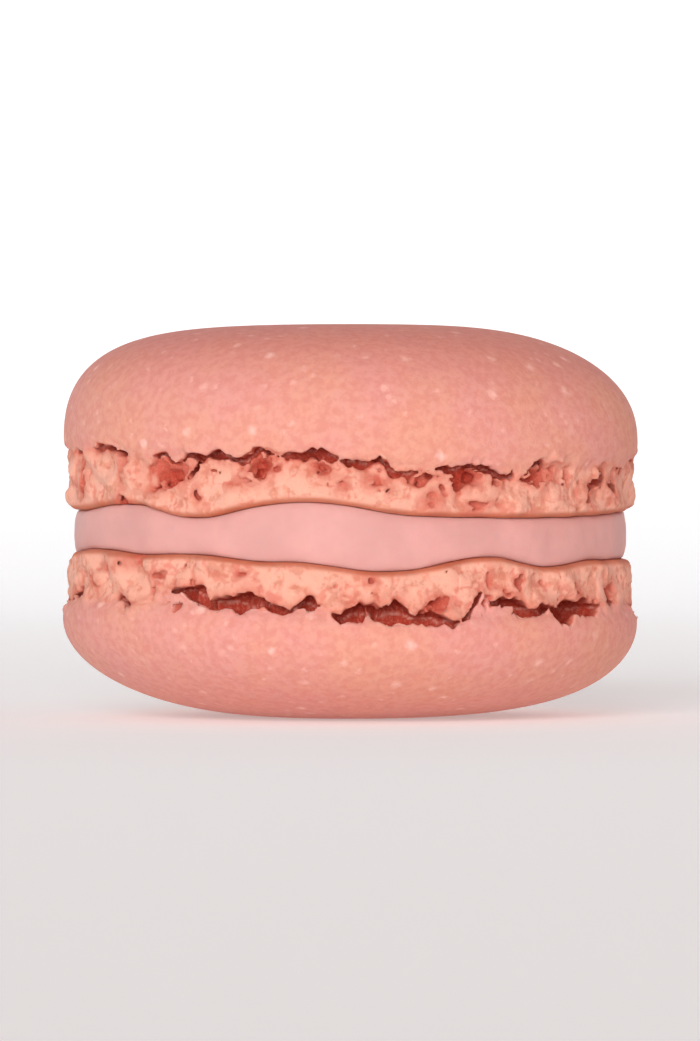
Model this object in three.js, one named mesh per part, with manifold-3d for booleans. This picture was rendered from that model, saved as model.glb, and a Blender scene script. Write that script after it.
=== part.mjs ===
// A French macaron: two domed almond meringue shells, each with the ragged foot that it grew in the oven,
// and a soft filling squeezed between their flat undersides.
// Millimetres, +Z up. The origin is the centre of the flat spot that the macaron rests on.

import * as THREE from "three";
import { mergeVertices } from "three/addons/utils/BufferGeometryUtils.js";
import Module from "manifold-3d";

const wasm = await Module();
wasm.setup();

const TURN = 2 * Math.PI;
const { degToRad, radToDeg, euclideanModulo, lerp, smoothstep } = THREE.MathUtils;

// ---- Driving dimensions ---------------------------------------------------------------------------

const SHELL_RADIUS = 20; // of both shells, at the belly of the dome
const FILLING_RADIUS = 19.3; // where the filling bulges most
const FILLING_EDGE = 18.4; // where it meets the shells
const FILLING_THICKNESS = 3.4; // between the undersides of the shells
const CONTACT_GAP = 0.1; // left between the filling and each shell
const FILLING_SQUARENESS = 3; // of its bulging side
const REST_SPOT_RADIUS = 5.5; // of the flat spot under the lower dome

// Directions are in degrees round the axis: 270 is the front and 0 the right.
// A ripple lifts a rim towards the apex of its dome, or sags it: [direction, lift, half width in degrees].
// The broad ones of the lip run on into the dome, and its short ones, the jogs, don't.
// A tear is a bubble that gapes under the lip of the skin: [direction, height of its middle above the
// underside, width, height, depth, slant in degrees].
const UPPER = {
  seed: 21,
  domeHeight: 9.3, // from the lip of the skin to the apex
  footHeight: 3.6, // from the flat underside to the lip of the skin
  squareness: 3.65, // of the dome's outline along its radius
  fullness: 2.4, // and along its height: 2 and 2 would be an ellipse
  lean: 1, // how much squarer the dome is on the side that it leans to
  leansTo: 180,
  lipRipples: [[200, 0.75, 70], [300, -0.65, 55], [90, 0.3, 60]],
  lipJogs: [
    [196, -0.35, 16], [223, -0.4, 11], [233, -0.5, 8], [248, -0.3, 13], [253, 0.55, 7], [262, 0.45, 8],
    [281, -0.55, 7], [287, -0.2, 7], [304, -0.6, 8], [314, 0.2, 8], [342, -0.65, 16],
  ],
  seatRipples: [
    [216, 0.45, 22], [236, -0.45, 15], [262, 0.7, 22], [308, -0.45, 60],
    [20, 0.35, 30], [75, -0.4, 28], [130, 0.45, 30],
  ],
  frontTears: [
    [211, 4.1, 3.2, 0.7, 0.9, -5], [231, 2.7, 3.8, 1.9, 0.7, 10], [243, 3.5, 4.4, 0.8, 1.5, -5],
    [252, 3.2, 2.2, 2, 0.8, -10], [262, 3.7, 3.6, 0.8, 1.5, -5], [271, 3.1, 2.2, 0.6, 1.3, 0],
    [277, 2.9, 1.8, 0.6, 1.2, -45], [284, 2.3, 3, 0.9, 0.8, 5], [294, 2.4, 2, 1.6, 1.4, -10],
    [301, 2.5, 2.4, 0.6, 1.1, -20], [311, 2.4, 2.6, 1.6, 0.8, -10], [332, 2.1, 2.4, 1.9, 0.8, -10],
  ],
};
const LOWER = {
  seed: 34,
  domeHeight: 7.6,
  footHeight: 3.5,
  squareness: 2.9,
  fullness: 1.95,
  lean: 0.5,
  leansTo: 0,
  lipRipples: [[205, -0.65, 60], [292, 0.5, 55], [110, -0.25, 50]],
  lipJogs: [
    [198, -0.5, 15], [215, -0.2, 16], [235, -1.25, 13], [250, -0.7, 12], [262, -0.9, 7], [274, -0.4, 13],
    [281, -0.2, 9], [299, -1.45, 10], [310, -0.7, 11], [330, -0.45, 15], [345, -0.5, 16],
  ],
  seatRipples: [
    [205, -0.75, 35], [236, -0.45, 18], [277, 0.65, 20], [299, -0.3, 15], [315, 0.4, 15],
    [40, 0.4, 25], [95, -0.45, 30], [140, 0.3, 22],
  ],
  frontTears: [
    [198, 2.3, 1.6, 0.7, 0.6, 0], [236, 2, 3, 0.7, 1, 25], [247.5, 2.8, 4.6, 1, 1.2, 5],
    [255, 3, 2.2, 0.6, 1.1, 10], [261.5, 2.7, 2, 0.6, 1, 0], [272, 3.4, 3, 0.7, 1.5, -5],
    [279.5, 3.3, 3, 1.2, 1.6, 5], [287.5, 3.5, 3, 1.2, 0.7, 0], [301.5, 2.6, 1.8, 0.6, 0.8, 0],
    [307.5, 3.1, 3.2, 0.6, 1, 5], [322.5, 3.4, 4.8, 1.1, 1.7, -8], [336.5, 2.4, 1.4, 0.9, 0.6, 0],
  ],
};

// The skin curls in below the belly and ends in a lip that stands a little proud of the foot.
const CURL_HEIGHT = 1; // from the lip up to the belly
const CURL_INSET = 0.3;
const LIP_DROP = 0.12; // from the lip down to the top of the foot's wall
const FOOT_INSET = 0.55; // mean distance of the foot's wall inside the belly
const FOOT_LUMPS = 0.13; // mean height of the lumps on the foot's wall
const FOOT_EDGE = 0.45; // rounding where the foot's wall turns into the underside
const LIP_JAGS = 0.1; // mean height of the jags in the lip
const OUT_OF_ROUND = 0.1; // mean unevenness of the radius
const LUMP_WAVES = { count: 12, mostAround: 42, mostUp: 2.6 }; // up in radians for each millimetre
const JAG_WAVES = { count: 8, mostAround: 30, mostUp: 0 };
const SWELL_WAVES = { count: 5, mostAround: 4, mostUp: 0 };
const LONGEST_WAVE = 0.35; // fewest waves round the ring, as a share of the most
const SEAT_RIPPLES_BEGIN = 8; // radius from which the underside follows the ripples of its rim
const SEAT_RIPPLES_END = 19;

// Ranges of the tears at the back, and of the pits, small bubbles that broke in the wall of the foot there.
const BACK = [366, 534]; // directions between which they lie
const TEAR = { width: [2.2, 5], height: [0.8, 2], depth: [0.8, 1.7] };
const TEAR_RISE = [-0.1, 0.3]; // of a tear's top above the lip
const TEAR_BRIDGE = [0, 0.8]; // of crumb between two tears
const TEAR_SLANT = [-12, 12];
const TEAR_SETBACK = 0.4; // of a tear's centre inside the belly
const PIT = { width: [0.7, 1.3], height: [0.5, 0.9], depth: [0.4, 0.75] };
const PIT_HEIGHT = [0.25, 0.6]; // share of the foot's height
const PIT_SLANT = [-23, 23];
const PIT_SETBACK = 0.45; // of a pit's centre inside the belly
const PITS = 9;
const MOSTLY_SMALL = 1.3; // power that draws of a hole's size are raised to

// Points round a ring, where it carries relief, where it is smooth, and near the centre.
const FOOT_POINTS = 88;
const SMOOTH_POINTS = FOOT_POINTS / 2;
const CENTRE_POINTS = FOOT_POINTS / 4;
const DOME_RINGS = 8;
const FOOT_ROWS = [0.82, 0.6, 0.38, 0.18]; // shares of the foot's height
const SEAT_RINGS = [[8, CENTRE_POINTS], [12.5, SMOOTH_POINTS], [15.5, SMOOTH_POINTS]]; // radius, points
const FILLING_ROWS = [0.98, 0.72, 0.28, -0.28, -0.72, -0.98]; // shares of half its thickness

const SHELL_LOOK = { color: 0xf0a092, roughness: 0.75, metalness: 0 };
const FILLING_LOOK = { color: 0xe9aea8, roughness: 0.5, metalness: 0 };

// ---- Helpers --------------------------------------------------------------------------------------

// A repeatable stream of numbers from 0 to 1.
function numbersFrom(seed) {
  let state = seed * 7919 + 1;
  return () => {
    state = (state * 48271) % 2147483647;
    return state / 2147483647;
  };
}

const within = ([low, high], share) => lerp(low, high, share);

// The sum of the ripples at an angle, each a raised cosine that is level outside its half width.
function rippled(ripples, angle) {
  return ripples.reduce((sum, [direction, lift, halfWidth]) => {
    const away = Math.abs(euclideanModulo(angle - degToRad(direction) + Math.PI, TURN) - Math.PI);
    const share = Math.min(away / degToRad(halfWidth), 1);
    return sum + lift * 0.5 * (1 + Math.cos(Math.PI * share));
  }, 0);
}

// Random waves round a ring, as a relief in angle and height whose mean size is 1.
function waveField(random, { count, mostAround, mostUp }) {
  const waves = Array.from({ length: count }, () => ({
    around: Math.round(mostAround * lerp(LONGEST_WAVE, 1, random())),
    up: mostUp * lerp(-1, 1, random()),
    phase: TURN * random(),
  }));
  return (angle, height) => waves.reduce(
    (sum, wave) => sum + Math.cos(wave.around * angle + wave.up * height + wave.phase), 0,
  ) / Math.sqrt(count / 2);
}

// A ring of points round the axis: place(angle) gives [radius, height].
function ring(count, place) {
  return Array.from({ length: count }, (_, i) => {
    const angle = (TURN * i) / count;
    const [radius, height] = place(angle);
    return new THREE.Vector3(radius * Math.cos(angle), radius * Math.sin(angle), height);
  });
}

// A closed geometry from a pole on top, down through rings, to a pole below. From ring to ring the number
// of points may double or halve.
function throughRings(topHeight, rings, bottomHeight) {
  const points = [new THREE.Vector3(0, 0, topHeight), ...rings.flat(), new THREE.Vector3(0, 0, bottomHeight)];
  const starts = rings.map((_, k) => 1 + rings.slice(0, k).flat().length);
  const faces = [];
  const first = rings[0].length;
  for (let i = 0; i < first; i++) faces.push(0, 1 + i, 1 + ((i + 1) % first));
  for (let k = 1; k < rings.length; k++) {
    const [above, below] = [rings[k - 1].length, rings[k].length];
    const steps = Math.max(above, below);
    for (let i = 0; i < steps; i++) {
      const upper = (j) => starts[k - 1] + (Math.floor((j * above) / steps) % above);
      const lower = (j) => starts[k] + (Math.floor((j * below) / steps) % below);
      if (lower(i) !== lower(i + 1)) faces.push(upper(i), lower(i), lower(i + 1));
      if (upper(i) !== upper(i + 1)) faces.push(upper(i), lower(i + 1), upper(i + 1));
    }
  }
  const [last, start] = [rings.at(-1).length, starts.at(-1)];
  for (let i = 0; i < last; i++) faces.push(points.length - 1, start + ((i + 1) % last), start + i);
  return new THREE.BufferGeometry().setFromPoints(points).setIndex(faces);
}

// A geometry as a solid that can be cut, and back.
function solidOf(geometry) {
  const bare = geometry.clone();
  bare.deleteAttribute("normal");
  bare.deleteAttribute("uv");
  const merged = mergeVertices(bare);
  return new wasm.Manifold(new wasm.Mesh({
    numProp: 3,
    vertProperties: merged.attributes.position.array,
    triVerts: new Uint32Array(merged.index.array),
  }));
}

function geometryOf(solid) {
  const mesh = solid.getMesh();
  return new THREE.BufferGeometry()
    .setAttribute("position", new THREE.BufferAttribute(mesh.vertProperties, 3))
    .setIndex(new THREE.BufferAttribute(mesh.triVerts, 1));
}

// ---- Shells ---------------------------------------------------------------------------------------
// A shell is made with its dome up and its underside at height 0.

const lipHeight = (shell, angle) =>
  shell.footHeight + rippled(shell.lipRipples, angle) + rippled(shell.lipJogs, angle);

const seatHeight = (shell, radius, angle) =>
  smoothstep(radius, SEAT_RIPPLES_BEGIN, SEAT_RIPPLES_END) * rippled(shell.seatRipples, angle);

// The dome's outline is a quarter of a superellipse that stands on the curl. Its rings run from the edge
// of the flat spot out to just above the belly.
function domeRadii(shell) {
  const first = Math.asin((REST_SPOT_RADIUS / SHELL_RADIUS) ** (shell.squareness / 2));
  return Array.from({ length: DOME_RINGS }, (_, i) => {
    const turn = lerp(first, TURN / 4, i / DOME_RINGS);
    return SHELL_RADIUS * Math.sin(turn) ** (2 / shell.squareness);
  });
}

// Height of the dome above its lip. Its outline is squarer towards the side that it leans to.
function domeHeightAt(shell, radius, angle) {
  const outward = (radius - REST_SPOT_RADIUS) / (SHELL_RADIUS - REST_SPOT_RADIUS);
  const lean = shell.lean * outward * Math.cos(angle - degToRad(shell.leansTo));
  const share = (radius / SHELL_RADIUS) ** (shell.squareness + lean);
  return CURL_HEIGHT + (shell.domeHeight - CURL_HEIGHT) * (1 - share) ** (1 / shell.fullness);
}

const spotHeight = (shell) => shell.footHeight + domeHeightAt(shell, REST_SPOT_RADIUS, 0);

// The body of a shell before it tears: dome, lip, lumpy foot and flat underside.
function shellBody(shell, random) {
  const lumps = waveField(random, LUMP_WAVES);
  const jags = waveField(random, JAG_WAVES);
  const swells = waveField(random, SWELL_WAVES);
  const jaggedLip = (angle) => lipHeight(shell, angle) + LIP_JAGS * jags(angle, 0);
  const wobble = (radius, angle) => radius + OUT_OF_ROUND * (radius / SHELL_RADIUS) ** 2 * swells(angle, 0);

  const dome = domeRadii(shell).map((radius, index) => {
    if (index === 0) return ring(CENTRE_POINTS, () => [radius, spotHeight(shell)]);
    return ring(SMOOTH_POINTS, (angle) => {
      const aboveLip = domeHeightAt(shell, radius, angle);
      const follow = (1 - aboveLip / shell.domeHeight) ** 2; // the lip's ripples fade towards the apex
      const height = shell.footHeight + aboveLip + follow * rippled(shell.lipRipples, angle);
      return [wobble(radius, angle), height];
    });
  });
  const belly = ring(FOOT_POINTS, (angle) => [
    wobble(SHELL_RADIUS, angle),
    lipHeight(shell, angle) + CURL_HEIGHT,
  ]);
  const lip = ring(FOOT_POINTS, (angle) => [wobble(SHELL_RADIUS - CURL_INSET, angle), jaggedLip(angle)]);
  const footRow = (share, inset) => ring(FOOT_POINTS, (angle) => {
    const top = jaggedLip(angle) - LIP_DROP;
    const height = lerp(seatHeight(shell, SHELL_RADIUS, angle), top, share);
    return [wobble(SHELL_RADIUS - inset, angle) + FOOT_LUMPS * lumps(angle, height), height];
  });
  const underside = (radius, count, rise) =>
    ring(count, (angle) => [radius, seatHeight(shell, radius, angle) + rise]);
  const corner = SHELL_RADIUS - FOOT_INSET;
  const halfRound = (1 - Math.SQRT1_2) * FOOT_EDGE; // both ways in from the corner, halfway round it
  return throughRings(shell === LOWER ? spotHeight(shell) : shell.footHeight + shell.domeHeight, [
    ...dome,
    belly,
    lip,
    footRow(1, FOOT_INSET + CURL_INSET),
    ...FOOT_ROWS.map((share) => footRow(share, FOOT_INSET)),
    underside(corner - halfRound, FOOT_POINTS, halfRound),
    underside(corner - FOOT_EDGE, SMOOTH_POINTS, 0),
    underside(FILLING_EDGE, SMOOTH_POINTS, 0),
    ...SEAT_RINGS.toReversed().map(([radius, count]) => underside(radius, count, 0)),
  ], 0);
}

// A rounded hole of a size, wide along the rim, at an angle, radius and height. It is cut from an
// icosahedron, with its faces split in four where detail is 1.
function bubble(size, detail, angle, radius, height, slant) {
  return solidOf(new THREE.IcosahedronGeometry(1, detail)
    .scale(size.depth, size.width / 2, size.height / 2)
    .rotateX(degToRad(slant))
    .translate(radius, 0, height)
    .rotateZ(angle));
}

// Three draws set a hole's size. Its height and depth follow its width by half.
function holeSize(ranges, random) {
  const share = random() ** MOSTLY_SMALL;
  return {
    width: within(ranges.width, share),
    height: within(ranges.height, lerp(share, random(), 0.5)),
    depth: within(ranges.depth, lerp(share, random(), 0.5)),
  };
}

// The tears at the back follow one another with a bridge of crumb between two.
function backTears(shell, random) {
  const tears = [];
  let [start, end] = BACK;
  while (start < end) {
    const { width, height, depth } = holeSize(TEAR, random);
    const turn = radToDeg(width / SHELL_RADIUS);
    const direction = start + turn / 2;
    const middle = lipHeight(shell, degToRad(direction)) + within(TEAR_RISE, random()) - height / 2;
    tears.push([direction, middle, width, height, depth, within(TEAR_SLANT, random())]);
    start += turn + radToDeg(within(TEAR_BRIDGE, random() ** 2) / SHELL_RADIUS);
  }
  return tears;
}

function tearHoles(shell, random) {
  return [...shell.frontTears, ...backTears(shell, random)].map(
    ([direction, middle, width, height, depth, slant]) =>
      bubble({ width, height, depth }, 1, degToRad(direction), SHELL_RADIUS - TEAR_SETBACK, middle, slant),
  );
}

// Small pits in the foot's wall, one in each equal share of the back.
function pitHoles(shell, random) {
  return Array.from({ length: PITS }, (_, i) => {
    const size = holeSize(PIT, random);
    const angle = degToRad(within(BACK, (i + random()) / PITS));
    const height = lipHeight(shell, angle) * within(PIT_HEIGHT, random());
    return bubble(size, 0, angle, SHELL_RADIUS - PIT_SETBACK, height, within(PIT_SLANT, random()));
  });
}

function shellGeometry(shell) {
  const random = numbersFrom(shell.seed);
  const body = solidOf(shellBody(shell, random));
  const holes = [...tearHoles(shell, random), ...pitHoles(shell, random)];
  return geometryOf(holes.reduce((left, hole) => left.subtract(hole), body));
}

// ---- Filling --------------------------------------------------------------------------------------
// Made about its own middle. Its faces follow the rippled undersides of the shells.

function fillingGeometry() {
  const half = FILLING_THICKNESS / 2 - CONTACT_GAP;
  const top = (radius, angle) => half + seatHeight(UPPER, radius, angle);
  const bottom = (radius, angle) => -half - seatHeight(LOWER, radius, angle);
  const face = (height) => [...SEAT_RINGS, [FILLING_EDGE, SMOOTH_POINTS]]
    .map(([radius, count]) => ring(count, (angle) => [radius, height(radius, angle)]));
  const side = FILLING_ROWS.map((share) => ring(SMOOTH_POINTS, (angle) => {
    const bulge = Math.sqrt(1 - Math.abs(share) ** FILLING_SQUARENESS);
    const radius = lerp(FILLING_EDGE, FILLING_RADIUS, bulge);
    return [radius, lerp(bottom(radius, angle), top(radius, angle), 0.5 + 0.5 * share)];
  }));
  return throughRings(half, [...face(top), ...side, ...face(bottom).reverse()], -half);
}

// ---- Assembly -------------------------------------------------------------------------------------

function piece(name, geometry, look, height) {
  const mesh = new THREE.Mesh(geometry, new THREE.MeshStandardMaterial(look));
  mesh.name = name;
  mesh.position.z = height;
  return mesh;
}

const seat = spotHeight(LOWER); // height of the lower shell's underside

const lowerShell = piece("lower_shell", shellGeometry(LOWER), SHELL_LOOK, seat);
lowerShell.scale.z = -1; // dome down
const filling = piece("filling", fillingGeometry(), FILLING_LOOK, seat + FILLING_THICKNESS / 2);
const upperShell = piece("upper_shell", shellGeometry(UPPER), SHELL_LOOK, seat + FILLING_THICKNESS);

const macaron = new THREE.Group();
macaron.add(lowerShell, filling, upperShell);
export default macaron;
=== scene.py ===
import math

import bpy
import numpy as np
import openvdb
from bpy.props import FloatProperty, FloatVectorProperty, PointerProperty
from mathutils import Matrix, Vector


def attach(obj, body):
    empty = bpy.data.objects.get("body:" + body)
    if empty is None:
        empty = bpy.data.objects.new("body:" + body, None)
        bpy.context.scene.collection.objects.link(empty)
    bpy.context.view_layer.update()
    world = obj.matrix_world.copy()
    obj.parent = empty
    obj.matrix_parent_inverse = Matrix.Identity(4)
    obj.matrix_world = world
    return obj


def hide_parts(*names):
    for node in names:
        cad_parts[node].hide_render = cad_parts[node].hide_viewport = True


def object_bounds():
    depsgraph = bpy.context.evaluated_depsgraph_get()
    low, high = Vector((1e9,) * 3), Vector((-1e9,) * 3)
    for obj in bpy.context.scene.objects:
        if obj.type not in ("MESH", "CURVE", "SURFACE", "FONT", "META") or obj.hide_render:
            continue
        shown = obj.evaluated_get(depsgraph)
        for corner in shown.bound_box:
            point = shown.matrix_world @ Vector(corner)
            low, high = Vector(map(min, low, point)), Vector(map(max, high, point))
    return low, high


# A French macaron: two almond meringue shells whose skins tore away from their feet as they rose in the
# oven, and a pink buttercream squeezed between them. It stands on a pale seamless floor.

bl_info = {
    "name": "French Macaron",
    "version": (1, 0, 0),
    "blender": (4, 5, 0),
    "location": "3D View > Sidebar > Macaron",
    "description": "Bakes a French macaron: two meringue shells with ragged feet and a soft filling",
    "category": "Add Mesh",
}

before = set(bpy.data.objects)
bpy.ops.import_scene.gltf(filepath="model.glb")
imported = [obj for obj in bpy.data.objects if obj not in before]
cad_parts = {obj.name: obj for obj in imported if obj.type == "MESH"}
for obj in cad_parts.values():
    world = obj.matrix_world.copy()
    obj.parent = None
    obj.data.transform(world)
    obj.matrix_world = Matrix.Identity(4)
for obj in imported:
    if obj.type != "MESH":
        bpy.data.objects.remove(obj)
cad_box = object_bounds()

MM = 0.001  # the shapes below are worked out in millimetres, and the scene is in metres
TURN = 2 * math.pi
TINY = 1e-6
LATTICE = 40  # cells after which the noises repeat
RING_STEPS = 7200  # of a function of the angle that is tabulated
MOST_TRIANGLES = 190_000  # of a shell


# ---- What the shells are like ---------------------------------------------------------------------
# Directions are in degrees round the axis: 270 is the front and 0 the right.
# A ripple lifts a rim towards the apex of its dome, or sags it: (direction, lift, half width in degrees).
# The lip line is the edge of the skin across the front: (direction, height above the underside, gap of the
# crack under it). Where the gap is below 0 the skin still holds on to the foot.
# A front tear is a hollow in the foot: (direction, height of its middle above the underside, width, height,
# depth, slant in degrees).

UPPER = {
    "piece": "upper_meringue",
    "node": "upper_shell",
    "seed": 21,
    "up": 1,  # the lower shell stands on its head
    "undercut": 0.15,  # rise of the crack's roof for each millimetre that it runs in behind the lip
    "lean": 1.0,  # how much squarer the dome is on the side that it leans to
    "leans_to": 180,
    "lip_ripples": [(200, 0.75, 70), (300, -0.65, 55), (90, 0.3, 60)],
    "lip_line": [
        (186, 3.9, -0.4), (196.5, 4.1, 0.15), (202, 4, -0.4), (207, 4.25, 0.15), (210.5, 4.4, 0.4),
        (214.5, 4.25, 0.35), (218, 4.05, 0.3), (220, 3.75, -0.4), (225, 3.8, -0.4), (227.5, 3.7, 0.35),
        (229.5, 3.75, 0.25), (233, 3.25, 0.15), (235, 3.6, 0.25), (236.5, 3.8, 0.4), (238.5, 3.7, 0.5),
        (241.5, 3.75, 0.6), (243.5, 3.7, 0.65), (245.5, 3.45, 0.5), (247.5, 3.4, 0.4), (249, 3.5, 0.35),
        (250.5, 3.9, 0.35), (252, 4.2, 0.3), (254, 4.1, 0.35), (256, 3.7, 0.1), (257.5, 3.75, 0.25),
        (259.5, 3.9, 0.45), (263.5, 3.9, 0.6), (265.5, 3.75, 0.5), (267.5, 3.5, 0.3), (268, 3.3, 0.2),
        (269.5, 3.25, 0.4), (272.5, 3.15, 0.4), (274, 3.25, 0.15), (274.5, 3.55, 0.25),
        (276, 3.4, 0.45), (277, 3.1, 0.4), (278, 2.65, 0.35), (279.5, 2.5, 0.4), (282, 2.5, 0.3),
        (283.5, 2.7, 0.15), (286.5, 2.75, 0.15), (288.5, 2.85, 0.4), (291, 2.8, 0.5),
        (293.5, 3.05, 0.45), (295.5, 3.1, 0.4), (297.5, 2.9, 0.4), (300, 2.55, 0.4), (302, 2.35, 0.5),
        (304, 2.3, 0.4), (305.5, 2.4, -0.4), (307.5, 2.5, 0.2), (308.5, 2.9, 0.3), (311, 3.2, 0.2),
        (314, 3.3, 0.15), (317.5, 3.2, -0.4), (327, 3, -0.4), (331.5, 3, 0.2), (335.5, 3.15, -0.4),
        (340.5, 2.8, 0.25), (346, 3, -0.4), (354, 3.3, -0.4),
    ],
    "seat_ripples": [
        (216, 0.45, 22), (236, -0.45, 15), (262, 0.7, 22), (308, -0.45, 60),
        (20, 0.35, 30), (75, -0.4, 28), (130, 0.45, 30),
    ],
    "front_tears": [
        (231, 2.75, 3.9, 1.9, 0.75, 10), (231, 1.95, 3.4, 0.6, 1.1, 12), (236.5, 2.7, 1.8, 0.7, 1, 50),
        (251.5, 3.2, 2, 2.3, 0.85, -10), (255.5, 3.05, 0.7, 0.5, 0.5, 30),
        (263.5, 2.95, 1.5, 0.6, 0.6, -20), (284.5, 2.15, 2.4, 0.9, 0.75, 0),
        (293.5, 2.4, 2.1, 1.7, 1.4, -20), (300, 1.9, 0.9, 0.5, 0.5, -40),
        (309, 1.8, 2.2, 0.6, 1.3, -25), (311, 2.55, 2.6, 1.5, 0.8, 0), (331.5, 2.3, 1.2, 2, 1.2, -15),
        (328.5, 1.8, 2.2, 0.7, 1.1, 20), (336.5, 1.3, 1.8, 0.8, 1.1, -35),
        (326.5, 0.9, 0.7, 1.1, 0.6, 10), (217.5, 3.3, 0.8, 1.3, 0.4, -20),
        (198.5, 2.3, 2.2, 2.8, 0.9, -8), (217, 0.75, 1.3, 0.75, 1.5, 0), (297, 0.15, 1.6, 0.45, 0.7, 5),
        (267.5, 1.8, 0.7, 0.5, 0.4, -30), (274.5, 2.1, 1.4, 0.25, 0.3, -10),
        (277.5, 1.3, 0.5, 0.3, 0.4, 0), (287, 0.6, 1.3, 0.7, 0.3, 0), (289.5, 1.3, 0.6, 0.6, 0.3, 0),
        (248, 2.05, 1.2, 0.3, 0.3, -5), (238, 1, 0.5, 1, 0.3, 15), (318.5, 2.2, 0.35, 1.6, 0.35, 12),
        (322, 1.1, 0.6, 0.4, 0.35, 0),
    ],
}
LOWER = {
    "piece": "lower_meringue",
    "node": "lower_shell",
    "seed": 34,
    "up": -1,
    "undercut": 0.6,
    "lean": 0.5,
    "leans_to": 0,
    "lip_ripples": [(205, -0.65, 60), (292, 0.5, 55), (110, -0.25, 50)],
    "lip_line": [
        (186, 2.9, -0.4), (198.5, 2.3, 0.6), (203.5, 2.5, -0.4), (213.5, 2.75, -0.4), (217, 2.6, 0.4),
        (220, 2.9, 0.25), (223.5, 2.9, -0.4), (227.5, 2.5, -0.4), (231, 2.1, 0.25), (233.5, 1.75, 0.7),
        (235.5, 1.95, 0.45), (237.5, 2.15, 0.65), (239.5, 2.4, 0.9), (240.5, 2.65, 0.4),
        (242.5, 2.75, 0.85), (244.5, 2.7, 0.65), (246.5, 2.8, 0.9), (248, 3, 1.3), (249.5, 2.75, 1.1),
        (251.5, 2.7, 0.95), (253, 2.9, 0.65), (255, 3.1, 0.7), (256.5, 3.25, 0.7), (258, 3.15, 0.2),
        (259, 3, 0.2), (260.5, 2.8, 0.85), (262.5, 2.8, 0.65), (264.5, 2.85, 0.25), (266, 3.1, -0.4),
        (267, 3.4, 0.2), (268, 3.8, 0.65), (269.5, 3.6, 0.7), (271.5, 3.45, 0.95), (272.5, 3.45, 0.85),
        (273.5, 3.25, 0.45), (275, 3.45, 0.9), (276.5, 3.55, 1.3), (278.5, 3.45, 1.6),
        (280, 3.45, 1.45), (282, 3.6, 0.95), (283.5, 3.8, 0.65), (285.5, 3.85, 0.65), (288, 4, 0.7),
        (290.5, 4.1, 0.6), (293, 3.9, 0.25), (294.5, 3.4, 0.2), (295.5, 2.6, 0.25), (297.5, 2.1, 0.25),
        (298.5, 2.4, -0.4), (299.5, 2.8, 0.25), (301.5, 2.6, 0.4), (304, 2.8, 0.6), (305.5, 3.1, 0.9),
        (308, 3.3, 0.7), (310, 3.3, 0.65), (312.5, 3.15, 0.45), (315, 3.2, 0.45), (316.5, 3.8, 1.1),
        (319, 3.7, 1.3), (321.5, 3.4, 0.95), (324, 3.3, 1.2), (327.5, 3.35, 1.2), (330, 3.3, 0.7),
        (333, 3.1, -0.4), (336.5, 2.7, 0.6), (340, 3.1, -0.4), (354, 3, -0.4),
    ],
    "seat_ripples": [
        (205, -0.75, 35), (236, -0.45, 18), (277, 0.65, 20), (299, -0.3, 15), (315, 0.4, 15),
        (40, 0.4, 25), (95, -0.45, 30), (140, 0.3, 22),
    ],
    "front_tears": [
        (233.5, 3.25, 1.3, 0.7, 0.9, -30), (231, 2.9, 0.5, 0.3, 0.35, 0), (279, 2.85, 1.6, 0.8, 1.2, 0),
        (287, 3.15, 1.7, 1.3, 0.6, 0), (305, 3.7, 0.45, 0.9, 0.6, 10), (303.5, 2.1, 1, 0.3, 0.4, 35),
        (325, 2.75, 1.9, 0.8, 0.8, 10), (336.5, 2.3, 1.3, 1.1, 0.8, 0), (206, 1.7, 1.6, 0.4, 0.4, 40),
        (228.5, 0.85, 0.6, 0.45, 0.4, 0), (227.5, 2.1, 0.4, 0.8, 0.3, 0),
        (248.5, 0.9, 0.7, 0.5, 0.3, 0), (274.5, 1.6, 0.7, 0.5, 0.3, 0), (322.5, 1.9, 0.5, 0.9, 0.4, 0),
        (222.5, -0.15, 1, 0.35, 0.6, 0), (250.5, 2.25, 0.7, 0.5, 0.7, 0),
        (214.5, 0.2, 2.6, 0.5, 0.3, 0), (296, 3.7, 0.4, 0.6, 0.4, 0), (297.8, 3.1, 0.5, 2, 0.6, 10),
        (299.5, 1.2, 0.5, 0.8, 0.35, -20), (306.5, 1.5, 0.4, 1.2, 0.35, 10),
    ],
}
FRONT = (184.0, 196.0, 344.0, 356.0)  # the lip line takes over between the first two, and ends by the last
BACK = (366.0, 534.0)  # directions between which the tears and pits of the back lie
CURL_HEIGHT = 1.0  # from the lip up to the belly
CURL_INSET = 0.3  # of the lip inside the belly
CURL_MOST = 1.3  # how far down from the belly the curl runs on, as a share of that height
FOOT_EDGE = 0.45  # rounding where the foot's wall turns into the underside
FOOT_LUMPS = 0.13  # mean height of the lumps on the foot's wall
LIP_JAGS = 0.1  # mean height of the jags in the lip
OUT_OF_ROUND = 0.1  # mean unevenness of the radius
SEAT_RIPPLES = (8.0, 19.0)  # radii between which the underside comes to follow the ripples of its rim
REST_SPOT_RADIUS = 5.5  # of the flat spot under the lower dome

# Waves round the ring: how many, the most round the ring, and the most up, in radians for each millimetre.
LUMP_WAVES = (12, 42, 2.6)
JAG_WAVES = (8, 30, 0)
SWELL_WAVES = (5, 4, 0)
LONGEST_WAVE = 0.35  # fewest waves round the ring, as a share of the most

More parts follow.
